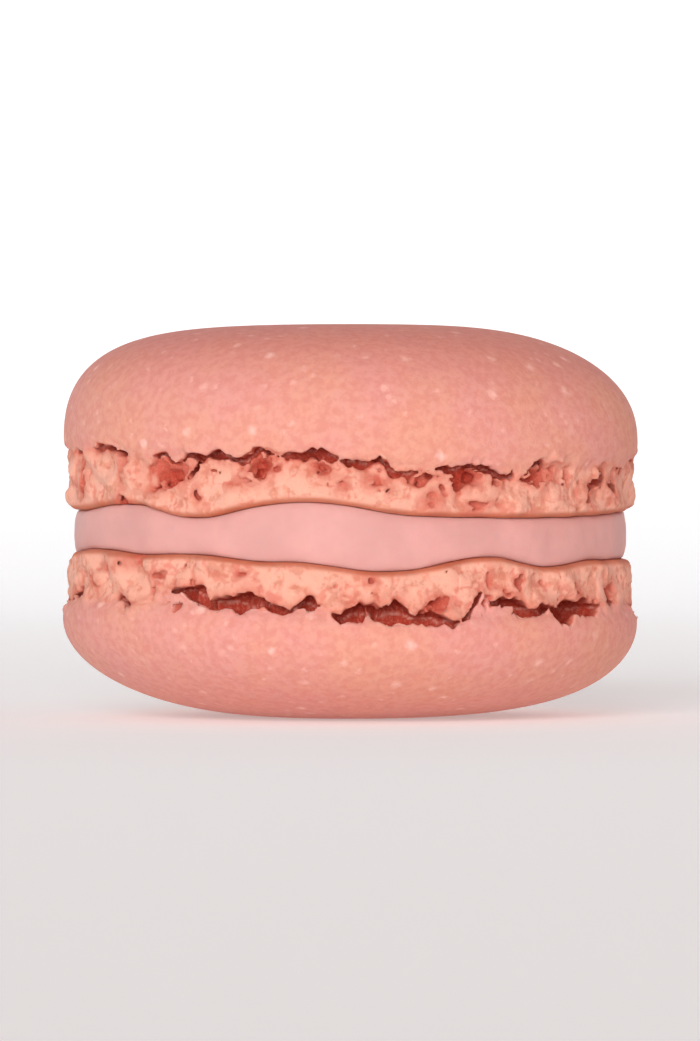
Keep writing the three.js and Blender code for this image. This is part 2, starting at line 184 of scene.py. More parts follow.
# Ranges of the tears at the back, and of the pits, small bubbles that broke in the wall of the foot there.
TEAR = {"width": (2.2, 5.0), "height": (0.8, 2.0), "depth": (0.8, 1.7)}
TEAR_RISE = (-0.1, 0.3)  # of a tear's top above the lip
TEAR_BRIDGE = (0.0, 0.8)  # of crumb between two tears
TEAR_SLANT = (-12.0, 12.0)
TEAR_SETBACK = 0.4  # of a tear's centre inside the belly
PIT = {"width": (0.7, 1.3), "height": (0.5, 0.9), "depth": (0.4, 0.75)}
PIT_HEIGHT = (0.25, 0.6)  # share of the lip's height
PIT_SLANT = (-23.0, 23.0)
PIT_SETBACK = 0.45
PITS = 9
MOSTLY_SMALL = 1.3  # power that draws of a hole's size are raised to


# ---- Settings -------------------------------------------------------------------------------------

def length(name, description, default, smallest=0.0):
    return FloatProperty(
        name=name, description=description, default=default, min=smallest,
        subtype="DISTANCE", unit="LENGTH",
    )


def colour(name, description, default):
    return FloatVectorProperty(
        name=name, description=description, default=default, size=3, min=0.0, max=1.0, subtype="COLOR",
    )


def number(name, description, default):
    return FloatProperty(name=name, description=description, default=default, min=0.0, max=10.0)


class MacaronShape(bpy.types.PropertyGroup):
    """Sizes of the macaron"""
    shell_radius: length("Shell radius", "Radius of both shells at the belly", 20 * MM)
    foot_inset: length("Foot inset", "Distance of the foot's wall inside the belly", 0.55 * MM)
    upper_dome: length("Upper dome", "Height of the upper dome above its lip", 9.3 * MM)
    upper_foot: length("Upper foot", "Height of the upper shell's foot", 3.6 * MM)
    upper_squareness: number("Upper squareness", "How square the upper dome is along its radius", 3.65)
    upper_fullness: number("Upper fullness", "How full the upper dome is along its height", 2.4)
    lower_dome: length("Lower dome", "Height of the lower dome above its lip", 7.6 * MM)
    lower_foot: length("Lower foot", "Height of the lower shell's foot", 3.5 * MM)
    lower_squareness: number("Lower squareness", "How square the lower dome is along its radius", 2.9)
    lower_fullness: number("Lower fullness", "How full the lower dome is along its height", 1.95)
    crumb_relief: length("Crumb relief", "Height of the fine relief of the foot's crumb", 0.15 * MM)
    voxel: length("Voxel", "Grain of the field that the shells are carved from", 0.14 * MM, 0.05 * MM)
    filling_radius: length("Filling radius", "Radius of the filling where it bulges most", 19.3 * MM)
    filling_edge: length("Filling edge", "Radius of the filling where it meets the shells", 18.85 * MM)
    filling_thickness: length("Filling thickness", "Distance between the undersides", 3.4 * MM)
    contact_gap: length("Contact gap", "Gap between the filling and each shell", 0.02 * MM)


class MacaronColours(bpy.types.PropertyGroup):
    """Colours of the macaron, as linear light"""
    skin: colour("Skin", "Smooth pink skin of the domes", (0.752, 0.345, 0.297))
    skin_warm: colour("Warm skin", "Patches of the skin that took more heat", (0.762, 0.364, 0.265))
    # Painted shade: darker, redder skin towards both apexes, where the domes turn from the light, with some
    # toasting.
    skin_toast_and_shade: colour("Toasted skin", "Skin nearest the apexes, which toasted", (0.75, 0.285, 0.24))
    skin_shadow: colour("Skin shadow", "Low spots between the grains of the skin", (0.62, 0.19, 0.155))
    fleck: colour("Fleck", "Flecks of pale almond in the skin", (0.93, 0.56, 0.48))
    crumb: colour("Crumb", "Dry tan crumb of the feet", (0.765, 0.34, 0.236))
    crumb_pink: colour("Pink crumb", "Crumb that kept the pink of the batter", (0.75, 0.283, 0.212))
    # Painted highlight: paler crumb on the crests, as if lit.
    crumb_crest_highlight: colour("Pale crumb", "Crests of the crumb", (0.85, 0.455, 0.34))
    # Painted shade in the creases, pores and at the rim of the foot, besides the real browner tone of its
    # grit and blotches.
    crumb_brown_and_shade: colour("Browned crumb", "Creases of the crumb, which browned", (0.53, 0.155, 0.085))
    # Also painted as a faint shade round each tear.
    tear: colour("Tear", "Moist crumb at the mouth of a tear", (0.58, 0.13, 0.085))
    # Painted shade: the crumb in a tear darkens with depth, besides its real moist red.
    tear_deep_shaded: colour("Deep tear", "Moist crumb deep in a tear", (0.46, 0.045, 0.023))
    filling: colour("Filling", "Pink buttercream", (0.735, 0.387, 0.352))


class MacaronStage(bpy.types.PropertyGroup):
    """Floor, light and camera"""
    floor: colour("Floor", "Pale seamless paper", (0.81, 0.88, 0.9))
    key: number("Key light", "Strength of the broad soft light beside the camera", 2.87)
    bounce: number("Bounce light", "Strength of the warm light from the right", 0.45)
    fill: number("Fill light", "Strength of the light from all round", 0.37)
    lens: FloatProperty(name="Lens", description="Focal length in millimetres", default=250.0, min=10.0)
    share: FloatProperty(
        name="Share of the width", description="Width of the macaron in the picture", default=0.82,
        min=0.1, max=1.0, subtype="FACTOR",
    )


# ---- Numbers and waves ----------------------------------------------------------------------------

def numbers_from(seed):
    """A repeatable stream of numbers from 0 to 1."""
    state = seed * 7919 + 1

    def draw():
        nonlocal state
        state = (state * 48271) % 2147483647
        return state / 2147483647

    return draw


def lerp(low, high, share):
    return low + (high - low) * share


def polar(points):
    return np.hypot(points[:, 0], points[:, 1]), np.arctan2(points[:, 1], points[:, 0]) % TURN


def smoothstep(value, low, high):
    share = np.clip((value - low) / (high - low), 0, 1)
    return share * share * (3 - 2 * share)


def rippled(ripples, angle):
    """The sum of the ripples at an angle, each a raised cosine that is level outside its half width."""
    total = np.zeros_like(angle)
    for direction, lift, half_width in ripples:
        away = np.abs((angle - math.radians(direction) + math.pi) % TURN - math.pi)
        share = np.minimum(away / math.radians(half_width), 1)
        total += lift * 0.5 * (1 + np.cos(math.pi * share))
    return total


def wave_field(random, count, most_around, most_up):
    """Random waves round a ring, as a relief in angle and height whose mean size is 1."""
    waves = []
    for _ in range(count):
        around = int(most_around * lerp(LONGEST_WAVE, 1, random()) + 0.5)
        up = most_up * lerp(-1, 1, random())
        waves.append((around, up, TURN * random()))

    def relief(angle, height):
        return sum(np.cos(a * angle + u * height + p) for a, u, p in waves) / math.sqrt(count / 2)

    return relief


def cell_noise(points, cell, seed):
    """Smooth random values from -1 to 1 that change over about one cell; points is an array of x, y, z."""
    lattice = np.random.default_rng(seed).uniform(-1, 1, LATTICE ** 3).astype(np.float32)
    corners, weights = [], []
    for axis, stride in enumerate((LATTICE ** 2, LATTICE, 1)):
        place = points[:, axis] / cell
        low = np.floor(place)
        share = (place - low).astype(np.float32)
        share = share * share * share * (share * (share * 6 - 15) + 10)
        low = low.astype(np.int32) % LATTICE
        corners.append((low * stride, (low + 1) % LATTICE * stride))
        weights.append((1 - share, share))
    total = np.zeros(len(points), np.float32)
    for i, j, k in np.ndindex(2, 2, 2):
        value = lattice[corners[0][i] + corners[1][j] + corners[2][k]]
        total += weights[0][i] * weights[1][j] * weights[2][k] * value
    return total


def layered_noise(points, layers, seed):
    """The sum of layers of noise, each with its cell and its size."""
    return sum(size * cell_noise(points, cell, seed + n) for n, (cell, size) in enumerate(layers))


def warp_noise(points, layers, seed):
    """How layers of noise, each with its cell and its size, push points about."""
    warp = np.zeros(points.shape, np.float32)
    for cell, size in layers:
        for axis in range(3):
            seed += 1
            warp[:, axis] += size * cell_noise(points, cell, seed)
    return warp


def bubble_distance(points, cell, radii, seed):
    """Distance outside the nearest of many scattered bubbles, one in each cell and most of them small."""
    random = np.random.default_rng(seed)
    middles = random.uniform(0, 1, (LATTICE ** 3, 3)).astype(np.float32)
    radii = lerp(*radii, random.uniform(0, 1, LATTICE ** 3) ** 3).astype(np.float32)
    place = (points / cell).astype(np.float32)
    corner = np.floor(place)
    share = place - corner
    corner = corner.astype(np.int32)
    nearest = np.full(len(points), np.inf, np.float32)
    for step in np.ndindex(3, 3, 3):
        offset = np.array(step) - 1
        here = (corner + offset) % LATTICE
        index = (here[:, 0] * LATTICE + here[:, 1]) * LATTICE + here[:, 2]
        away = np.sqrt(((middles[index] + offset - share) ** 2).sum(axis=1)) * cell
        nearest = np.minimum(nearest, away - radii[index])
    return nearest


def along_ring(values):
    """Tabulates a function of the angle, which is then read at millions of points."""
    turns = np.linspace(0, TURN, RING_STEPS + 1)
    table = values(turns)
    return lambda angle: np.interp(angle, turns, table)


def front_share(angle):
    """How far the lip line rules at an angle, from 0 at the back to 1 in front."""
    degrees = np.degrees(angle)
    return smoothstep(degrees, FRONT[0], FRONT[1]) * (1 - smoothstep(degrees, FRONT[2], FRONT[3]))


def blend(a, b, reach):
    """The smaller of two distances, rounded where they are within a reach of each other."""
    near = np.clip(1 - np.abs(a - b) / reach, 0, 1)
    return np.minimum(a, b) - near * near * reach / 4


# ---- Shape of a shell -----------------------------------------------------------------------------

DOME_STEEPNESS = 0.8  # turns the superellipse's value into a distance, near enough
BACK_GAP = 0.24  # mean gap of the crack at the back
BACK_GAP_NOISE = ((1.7, 0.64),)  # cell and size
GAPE = 0.56  # how far each edge of the crack lies from the lip line, as a share of its gap
TEETH = ((0.7, 0.2), (0.33, 0.17))  # cells and sizes of the noises that make the crack's edges ragged
TEETH_GROW = (-0.2, 0.3)  # gaps between which they grow to their full size
NOISES = {  # what each noise of a shell adds to its seed
    "ruffles": 0, "tears": 20, "billows": 50, "gap": 60, "above": 61, "below": 63, "blur": 65, "holes": 66,
    "pores": 70,
}


class Shell:
    """The form of one shell, dome up, with its underside at height 0, in millimetres."""

    def __init__(self, facts, shape, side):
        random = numbers_from(facts["seed"])
        self.facts = facts
        self.radius = shape.shell_radius / MM
        self.inset = shape.foot_inset / MM
        self.dome = getattr(shape, side + "_dome") / MM
        self.foot = getattr(shape, side + "_foot") / MM
        self.squareness = getattr(shape, side + "_squareness")
        self.fullness = getattr(shape, side + "_fullness")
        self.relief = shape.crumb_relief / MM
        self.lumps = wave_field(random, *LUMP_WAVES)
        jags = wave_field(random, *JAG_WAVES)
        swells = wave_field(random, *SWELL_WAVES)
        self.lip_ripple = along_ring(lambda angle: rippled(facts["lip_ripples"], angle))
        self.front = along_ring(front_share)
        self.lip = along_ring(self.lip_height)
        self.gap = along_ring(self.crack_gap)
        self.above = along_ring(lambda angle: self.crack_edge(angle, "above"))
        self.below = along_ring(lambda angle: self.crack_edge(angle, "below"))
        self.seat_ripple = along_ring(lambda angle: rippled(facts["seat_ripples"], angle))
        self.jags = along_ring(lambda angle: jags(angle, 0))
        self.swells = along_ring(lambda angle: swells(angle, 0))
        leans_to = math.radians(facts["leans_to"])
        self.lean = along_ring(lambda angle: facts["lean"] * np.cos(angle - leans_to))
        self.holes = self.tear_holes(random) + self.pit_holes(random)
        share = (REST_SPOT_RADIUS / self.radius) ** self.squareness
        self.spot = self.foot + CURL_HEIGHT + (self.dome - CURL_HEIGHT) * (1 - share) ** (1 / self.fullness)

    def noise_seed(self, name):
        return 100 * self.facts["seed"] + NOISES[name]

    def lip_height(self, angle):
        directions, heights, _ = np.transpose(self.facts["lip_line"])
        line = np.interp(np.degrees(angle), directions, heights)
        return lerp(self.foot + self.lip_ripple(angle), line, self.front(angle))

    def crack_gap(self, angle):
        """Gap of the crack under the lip, below 0 where the skin still holds on to the foot."""
        directions, _, gaps = np.transpose(self.facts["lip_line"])
        line = np.interp(np.degrees(angle), directions, gaps)
        return lerp(BACK_GAP + self.rim_noise(angle, BACK_GAP_NOISE, "gap"), line, self.front(angle))

    def rim_noise(self, angle, layers, name):
        rim = self.radius * np.stack([np.cos(angle), np.sin(angle), np.zeros_like(angle)], axis=1)
        return layered_noise(rim, layers, self.noise_seed(name))

    def crack_edge(self, angle, name):
        """How far one of the crack's ragged edges lies from the lip line."""
        gap = self.gap(angle)
        return GAPE * gap + smoothstep(gap, *TEETH_GROW) * self.rim_noise(angle, TEETH, name)

    def ragged_lip(self, angle):
        return self.lip(angle) + LIP_JAGS * self.jags(angle)

    def seat(self, radius, angle):
        return smoothstep(radius, *SEAT_RIPPLES) * self.seat_ripple(angle)

    def tear_holes(self, random):
        wall = self.radius - self.inset
        holes = [(math.radians(direction), wall, *size) for direction, *size in self.facts["front_tears"]]
        start, end = BACK
        while start < end:
            width, height, depth = self.hole_size(TEAR, random)
            turn = math.degrees(width / self.radius)
            angle = math.radians(start + turn / 2) % TURN
            middle = self.lip(angle) + lerp(*TEAR_RISE, random()) - height / 2
            slant = lerp(*TEAR_SLANT, random())
            holes.append((angle, self.radius - TEAR_SETBACK, middle, width, height, depth, slant))
            start += turn + math.degrees(lerp(*TEAR_BRIDGE, random() ** 2) / self.radius)
        return holes

    def pit_holes(self, random):
        holes = []
        for i in range(PITS):
            width, height, depth = self.hole_size(PIT, random)
            angle = math.radians(lerp(*BACK, (i + random()) / PITS)) % TURN
            middle = self.lip(angle) * lerp(*PIT_HEIGHT, random())
            slant = lerp(*PIT_SLANT, random())
            holes.append((angle, self.radius - PIT_SETBACK, middle, width, height, depth, slant))
        return holes

    @staticmethod
    def hole_size(ranges, random):
        share = random() ** MOSTLY_SMALL
        width = lerp(*ranges["width"], share)
        height = lerp(*ranges["height"], lerp(share, random(), 0.5))
        return width, height, lerp(*ranges["depth"], lerp(share, random(), 0.5))

    def rim_radius(self, radius, angle):
        """The belly's radius as a point at some radius meets it: the dome is out of round most at its rim."""
        return self.radius + OUT_OF_ROUND * self.swells(angle) * (radius / self.radius)

    def skin_distance(self, radius, angle, height):
        """Distance from the skin, about true near it: negative inside the dome and its curl."""
        rim = self.rim_radius(radius, angle)
        share = np.clip(1 - (height - self.foot) / self.dome, 0, 1) ** 2
        above = height - self.foot - share * self.lip_ripple(angle)
        along = np.maximum(radius, TINY) / rim
        outward = np.clip((radius - REST_SPOT_RADIUS) / (self.radius - REST_SPOT_RADIUS), 0, 1)
        square = self.squareness + self.lean(angle) * outward
        rise = np.maximum((above - CURL_HEIGHT) / (self.dome - CURL_HEIGHT), 0)
        bulk = (along ** square + rise ** self.fullness) ** (1 / square)
        domed = (bulk - 1) * rim * DOME_STEEPNESS
        curl = np.clip(1 - above / CURL_HEIGHT, 0, CURL_MOST) ** 2
        curled = radius - rim + CURL_INSET * curl
        return np.where(above > CURL_HEIGHT, domed, curled)

    def foot_radius(self, angle, height, radius):
        lumps = FOOT_LUMPS * self.lumps(angle, height)
        above = np.clip((height - self.seat(radius, angle)) / FOOT_EDGE, 0, 1)
        rounding = FOOT_EDGE * (1 - np.sqrt(1 - (1 - above) ** 2))
        return self.rim_radius(radius, angle) - self.inset + lumps - rounding


MARGIN = 0.8  # of the grid round a shell
SAG = 1.3  # of the grid below the underside's mean height, more than its ripples sag
WALL_TOP = 0.4  # how far the foot's wall goes on above the lip, behind the skin
WALL_REACH = 2.5  # height above the foot's own that the lip stays under everywhere
CRUMB_REACH = 2.0  # height above the foot's own up to which the crumb is worked out in detail
CRUMB_DEPTH = 2.2  # distance from the plain surface within which it is
BAND = 3.0  # how far in from the belly it is
BAND_FADE = 0.6  # distance over which its relief sets in from there
LIP_FADE = (0.25, 0.8)  # heights above the lip between which it dies out
SEAT_FADE = 0.5  # height above the underside over which it sets in

# Layers of noise, each with its cell and its size.
RUFFLES = ((1.2, 0.2), (0.5, 0.13), (0.26, 0.07))  # make the lip ragged
TEAR_RUFFLES = ((1.4, 0.38), (0.6, 0.26), (0.27, 0.12))  # make the tears ragged
CALM = 0.6  # how much less the crack is ruffled in front
BILLOWS = ((1.15, 1.0), (0.52, 0.65), (0.27, 0.4))  # rounded lumps of the crumb
BILLOW_VALLEY = 0.12  # rounding of the valleys between them
BILLOW_MEAN = 0.62  # of their sum
BILLOW_MOST = 1.6  # times their mean
BILLOW_LEVEL = 0.75  # times their mean: what is higher stands out, and what is lower sinks in
HOLE_GRAIN = ((0.6, 0.6), (0.3, 0.4))  # makes the walls of the holes uneven
HOLE_ROUGHNESS = 0.5  # share of a hole's size by which its wall is uneven
HOLE_REACH = 1.0  # depth beyond a hole's own in which it still counts
LIP_THICKNESS = 0.5  # of the skin over the crack
CRACK_DEPTH = (1.0, 1.9)  # inside the belly: where the gap is 0, and what each millimetre of gap adds
CLOSED = 0.3  # how far below 0 a gap is where the skin runs on smoothly into the foot
PORE_CELL = 0.55
PORE_RADII = (-0.12, 0.2)  # those below 0 leave their cell without a pore
PORE_REACH = 0.45  # distance from the surface or from a tear within which pores are worked out
PORE_CALM = 0.5  # distance by which pores draw back where the relief dies out
LIP_EDGE = 0.1  # half the height over which the foot gives way to the skin at the lip

# Pairs of a value where the skin gapes, and what is added to it where it is closed on to the foot.
JOIN = (0.03, 0.5)  # reach of the blend between skin and foot
SKIN_START = (0.12, 0.3)  # height above the lip from which all is skin
SKIN_NEAR = (0.08, 0.2)  # distance from the dome up to which all is skin
SKIN_FAR = (0.2, 0.3)  # distance from the dome from which nothing is
BLUR = ((0.7, 0.45),)  # cell and size of the noise that blurs the closed edge of the skin

CREASE_LEVEL = 1.2  # times the billows' mean: what is lower lies in a crease
PORE_CREASE = 0.6  # how much a pore counts as a crease
PORE_RIM = 0.1  # distance from a pore over which it does
RIM = (0.15, 0.5)  # heights above the underside between which the darker rim of the foot ends: painted shade of the seam with the filling, and some real browning of the baked underside
DEEPEST = 4.0  # depth beyond which it makes no difference to the colour


def carve(shell, voxel):
    """The shell as a field on a grid, negative inside, and the grid's corner."""
    side = np.arange(-shell.radius - MARGIN, shell.radius + MARGIN, voxel)
    heights = np.arange(-SAG, shell.foot + shell.dome + MARGIN, voxel)
    x, y = np.meshgrid(side, side, indexing="ij")
    radius, angle = np.hypot(x, y), np.arctan2(y, x) % TURN
    lip = shell.ragged_lip(angle)
    seat = shell.seat(radius, angle)
    field = np.empty((*x.shape, len(heights)), np.float32)
    for k, height in enumerate(heights):
        body = np.maximum(shell.skin_distance(radius, angle, height), lip - height)
        if height < shell.foot + WALL_REACH:
            wall = radius - shell.radius + shell.inset
            body = np.minimum(body, np.maximum(wall, height - lip - WALL_TOP))
        field[:, :, k] = np.maximum(body, seat - height)

    outer = (radius > shell.radius - BAND)[:, :, None] & (heights < shell.foot + CRUMB_REACH)[None, None, :]
    i, j, k = np.nonzero(outer & (np.abs(field) < CRUMB_DEPTH))
    points = np.stack([side[i], side[j], heights[k]], axis=1)
    field[i, j, k] = crumb_at(shell, points)["field"]
    return field, np.array([side[0], side[0], heights[0]])


def crumb_at(shell, points):
    """The torn foot at some points: the field, and what colours the crumb."""
    radius, angle = polar(points)
    height = points[:, 2]
    lip, seat = shell.ragged_lip(angle), shell.seat(radius, angle)
    closed = smoothstep(-shell.gap(angle), 0.0, CLOSED)
    fade = smoothstep(radius, shell.radius - BAND, shell.radius - BAND + BAND_FADE)
    fade = fade * (1 - smoothstep(height, lip + LIP_FADE[0], lip + LIP_FADE[1]))
    fade = fade * smoothstep(height, seat, seat + SEAT_FADE)
    ruffled = points + fade[:, None] * warp_noise(points, RUFFLES, shell.noise_seed("ruffles"))
    ruffled_radius, ruffled_angle = polar(ruffled)
    over_lip = ruffled[:, 2] - shell.ragged_lip(ruffled_angle)
    dome = shell.skin_distance(ruffled_radius, ruffled_angle, ruffled[:, 2])
    skin = np.maximum(dome, -over_lip)

    def where_closed(pair):
        return pair[0] + pair[1] * closed

    billow = billows_at(shell, ruffled)
    relief = shell.relief * (BILLOW_LEVEL - billow) * fade
    wall = radius - shell.foot_radius(angle, height, radius) + relief
    body = blend(skin, np.maximum(wall, over_lip - WALL_TOP), where_closed(JOIN))

    warp = fade[:, None] * warp_noise(points, TEAR_RUFFLES, shell.noise_seed("tears"))
    tear = crack_distance(shell, points + (1 - CALM * shell.front(angle))[:, None] * warp)
    grain = layered_noise(points, HOLE_GRAIN, shell.noise_seed("holes"))
    for hole in shell.holes:
        near, distance, size = hole_distance(points + warp, *hole)
        tear[near] = np.minimum(tear[near], distance + HOLE_ROUGHNESS * size * grain[near])

    pore = np.ones(len(points), np.float32)
    near = np.nonzero((np.abs(body) < PORE_REACH) | (np.abs(tear) < PORE_REACH))[0]
    pore[near] = bubble_distance(ruffled[near], PORE_CELL, PORE_RADII, shell.noise_seed("pores"))
    pore += PORE_CALM * (1 - fade) + smoothstep(over_lip, -LIP_EDGE, LIP_EDGE)
    body = np.maximum(body, np.maximum(-tear, -pore))

    depth = np.where(over_lip > LIP_EDGE, -dome, shell.radius - shell.inset - radius)
    crease = np.clip(CREASE_LEVEL - billow, 0, 1) + PORE_CREASE * (1 - smoothstep(pore, 0, PORE_RIM))
    blur = closed * layered_noise(points, BLUR, shell.noise_seed("blur"))
    on_skin = smoothstep(over_lip + blur, 0, where_closed(SKIN_START))
    on_skin = on_skin * (1 - smoothstep(np.abs(skin), where_closed(SKIN_NEAR), where_closed(SKIN_FAR)))
    return {
        "field": np.maximum(body, seat - height),
        "crumb": 1 - on_skin,
        "away": np.clip(tear, 0, 1),
        "depth": np.clip(depth, 0, DEEPEST),
        "crease": np.clip(crease, 0, 1) * (1 - on_skin),
        "rim": 1 - smoothstep(height - seat, *RIM),
    }


def billows_at(shell, points):
    """Height of the crumb's rounded lumps at some points, as a share of their mean."""
    billow = np.zeros(len(points))
    for n, (cell, size) in enumerate(BILLOWS):
        noise = cell_noise(points, cell, shell.noise_seed("billows") + n)
        billow += size * np.hypot(noise, BILLOW_VALLEY)
    return np.clip(billow / BILLOW_MEAN, 0, BILLOW_MOST)


def crack_distance(shell, points):
    """Distance outside the crack under the lip, which is the deeper the wider it gapes."""
    radius, angle = polar(points)
    gap = shell.gap(angle)
    floor = shell.radius - CRACK_DEPTH[0] - CRACK_DEPTH[1] * gap
    over = points[:, 2] - shell.lip(angle)
    undercut = shell.facts["undercut"] * np.maximum(shell.radius - LIP_THICKNESS - radius, 0)
    edge = np.where(over > 0, shell.above(angle) + undercut, shell.below(angle))
    return np.maximum(np.abs(over) - edge, floor - radius)


def hole_distance(points, angle, radius, middle, width, height, depth, slant):
    """Which points are near a hole, how far outside its ellipsoid they are, and its smallest half size."""
    out = np.array([math.cos(angle), math.sin(angle)])
    outward = points[:, :2] @ out - radius
    across = points[:, :2] @ np.array([-out[1], out[0]])
    up = points[:, 2] - middle
    near = (np.abs(outward) < depth + HOLE_REACH) & (np.abs(across) < width)
    near = np.nonzero(near & (np.abs(up) < height + HOLE_REACH / 2))[0]
    outward, across, up = outward[near], across[near], up[near]
    roll = math.radians(slant)
    along = math.cos(roll) * across + math.sin(roll) * up
    over = math.cos(roll) * up - math.sin(roll) * across
    reach = np.sqrt((outward / depth) ** 2 + (2 * along / width) ** 2 + (2 * over / height) ** 2)
    size = min(depth, height / 2)
    return near, (reach - 1) * size, size


def mesh_of_field(field, corner, voxel):
    """Points, triangles and quads of the surface where the field is 0."""
    grid = openvdb.FloatGrid(background=1.0)
    grid.copyFromArray(np.clip(field, -1, 1))
    points, triangles, quads = grid.convertToPolygons(isovalue=0.0, adaptivity=0.0)
    return points * voxel + corner, triangles, quads


SNAP_ABOVE = 0.8  # the lip
SNAP_ROUNDS = 3
SNAP_STEP = 0.01  # over which the slope of the distance is taken
SNAP_MOST = 0.2  # that a point is moved in a round


def snap_to_skin(shell, points):
    """Moves the points of the skin onto its exact surface, so that it shades smoothly."""
    radius, angle = polar(points)
    on_skin = points[:, 2] > shell.lip(angle) + SNAP_ABOVE

    def distance(place):
        return shell.skin_distance(*polar(place), place[:, 2])

    for _ in range(SNAP_ROUNDS):
        here = points[on_skin]
        off = distance(here)
        further = [distance(here + SNAP_STEP * axis) for axis in np.eye(3)]
        slope = (np.stack(further, axis=1) - off[:, None]) / SNAP_STEP
        move = np.clip(off / np.maximum((slope ** 2).sum(axis=1), TINY), -SNAP_MOST, SNAP_MOST)
        points[on_skin] = here - move[:, None] * slope
    return points


def build_object(name, points, faces):
    mesh = bpy.data.meshes.new(name)
    mesh.from_pydata(points.tolist(), [], faces)
    mesh.validate()
    piece = bpy.data.objects.new(name, mesh)
    bpy.context.scene.collection.objects.link(piece)
    return piece


def finish_piece(piece, node, material):
    piece.data.shade_smooth()
    piece.data.materials.append(material)
    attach(piece, "root")
    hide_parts(node)


def bake_shell(facts, side):
    shape = bpy.context.scene.macaron_shape
    shell = Shell(facts, shape, side)
    voxel = 1 * shape.voxel / MM
    field, corner = carve(shell, voxel)
    points, triangles, quads = mesh_of_field(field, corner, voxel)
    points = snap_to_skin(shell, points)
    piece = build_object(facts["piece"], points, quads.tolist() + triangles.tolist())
    thin(piece)
    mark_crumb(piece, shell)
    put_in_place(piece, shell)
    return piece


def thin(piece):
    """Decimates the mesh where it has more triangles than a shell may have."""
    piece.data.calc_loop_triangles()
    count = len(piece.data.loop_triangles)
    if count > MOST_TRIANGLES:
        modifier = piece.modifiers.new("thin", "DECIMATE")
        modifier.ratio = MOST_TRIANGLES / count
        bpy.context.view_layer.objects.active = piece
        with bpy.context.temp_override(object=piece, active_object=piece, selected_objects=[piece]):
            bpy.ops.object.modifier_apply(modifier=modifier.name)


def points_of(mesh):
    points = np.empty(len(mesh.vertices) * 3, np.float32)
    mesh.vertices.foreach_get("co", points)
    return points.reshape(-1, 3).astype(np.float64)


def mark_crumb(piece, shell):
    """Stores what colours each point: whether it is crumb, how far from a tear, how deep, in a crease or at
    the rim."""
    points = points_of(piece.data)
    marks = crumb_at(shell, points)
    smooth = points[:, 2] > shell.foot + CRUMB_REACH
    for name, on_dome in (("crumb", 0), ("away", 1), ("depth", 0), ("crease", 0), ("rim", 0)):
        store(piece, name, np.where(smooth, on_dome, marks[name]))


def store(piece, name, values):
    attribute = piece.data.attributes.new(name, "FLOAT", "POINT")
    attribute.data.foreach_set("value", values.astype(np.float32))


def put_in_place(piece, shell):
    """Moves the shell from its own millimetres to its place in the macaron, in metres. The lower one is
    turned over, and flat on the spot that it rests on."""
    shape = bpy.context.scene.macaron_shape
    mesh = piece.data
    points = points_of(mesh)
    if shell.facts["up"] > 0:
        points[:, 2] += Shell(LOWER, shape, "lower").spot + shape.filling_thickness / MM
    else:
        points[:, 2] = shell.spot - np.minimum(points[:, 2], shell.spot)
        mesh.flip_normals()
    mesh.vertices.foreach_set("co", (points * MM).astype(np.float32).ravel())
    mesh.update()


# ---- Filling --------------------------------------------------------------------------------------

AROUND = 480  # points
SIDE_ROWS = 28
ROW_CROWDING = 0.7  # power that crowds them towards the side's two edges
FACE_ROWS = 8  # of the filling's top, and of its underside
FACE_MIDDLE = 6.0  # radius inside which these are plain
FILLING_SQUARENESS = 3  # of the bulging side
SWELLS = ((3.1, 0.09), (0.9, 0.035))  # cells and sizes of the noises that make the side uneven
SWELLS_GROW = (-0.2, 0.4)  # distances outside its edge between which they grow to their full size
SWELL_SEED = 7


def filling_mesh():
    shape = bpy.context.scene.macaron_shape
    upper, lower = Shell(UPPER, shape, "upper"), Shell(LOWER, shape, "lower")
    half = (shape.filling_thickness / 2 - shape.contact_gap) / MM
    edge, bulge = shape.filling_edge / MM, shape.filling_radius / MM
    angle = np.arange(AROUND) * TURN / AROUND
    rows = []
    for radius in np.linspace(FACE_MIDDLE, edge, FACE_ROWS):
        rows.append((np.full(AROUND, radius), half + upper.seat(radius, angle)))
    turns = np.linspace(math.pi / 2, -math.pi / 2, SIDE_ROWS + 2)[1:-1]
    for turn in turns:
        share = math.copysign(abs(math.sin(turn)) ** ROW_CROWDING, turn)
        radius = lerp(edge, bulge, math.sqrt(1 - abs(share) ** FILLING_SQUARENESS))
        top, bottom = half + upper.seat(radius, angle), -half - lower.seat(radius, angle)
        rows.append((np.full(AROUND, radius), lerp(bottom, top, 0.5 + 0.5 * share)))
    for radius in np.linspace(edge, FACE_MIDDLE, FACE_ROWS):
        rows.append((np.full(AROUND, radius), -half - lower.seat(radius, angle)))
    points = np.concatenate([np.stack([r * np.cos(angle), r * np.sin(angle), z], axis=1) for r, z in rows])
    outer = smoothstep(np.hypot(points[:, 0], points[:, 1]) - edge, *SWELLS_GROW)
    swell = layered_noise(points, SWELLS, SWELL_SEED)
    points[:, :2] *= (1 + outer * swell / edge)[:, None]
    points[:, 2] += lower.spot + shape.filling_thickness / MM / 2
    poles = [[0, 0, points[0, 2]], [0, 0, points[-1, 2]]]
    faces = []
    for row in range(len(rows) - 1):
        for i in range(AROUND):
            j = (i + 1) % AROUND
            a, b = row * AROUND, (row + 1) * AROUND
            faces.append((a + i, b + i, b + j, a + j))
    top, bottom, last = len(points), len(points) + 1, len(points) - AROUND
    for i in range(AROUND):
        j = (i + 1) % AROUND
        faces.append((top, i, j))
        faces.append((bottom, last + j, last + i))
    return np.concatenate([points, poles]) * MM, faces


# ---- Materials ------------------------------------------------------------------------------------

NODE_SPACING = 180
COLOUR_SOCKETS = (6, 7, 2)  # A, B and the result of a Mix node that mixes colours
NUMBER_SOCKETS = (2, 3, 0)  # and of one that mixes numbers


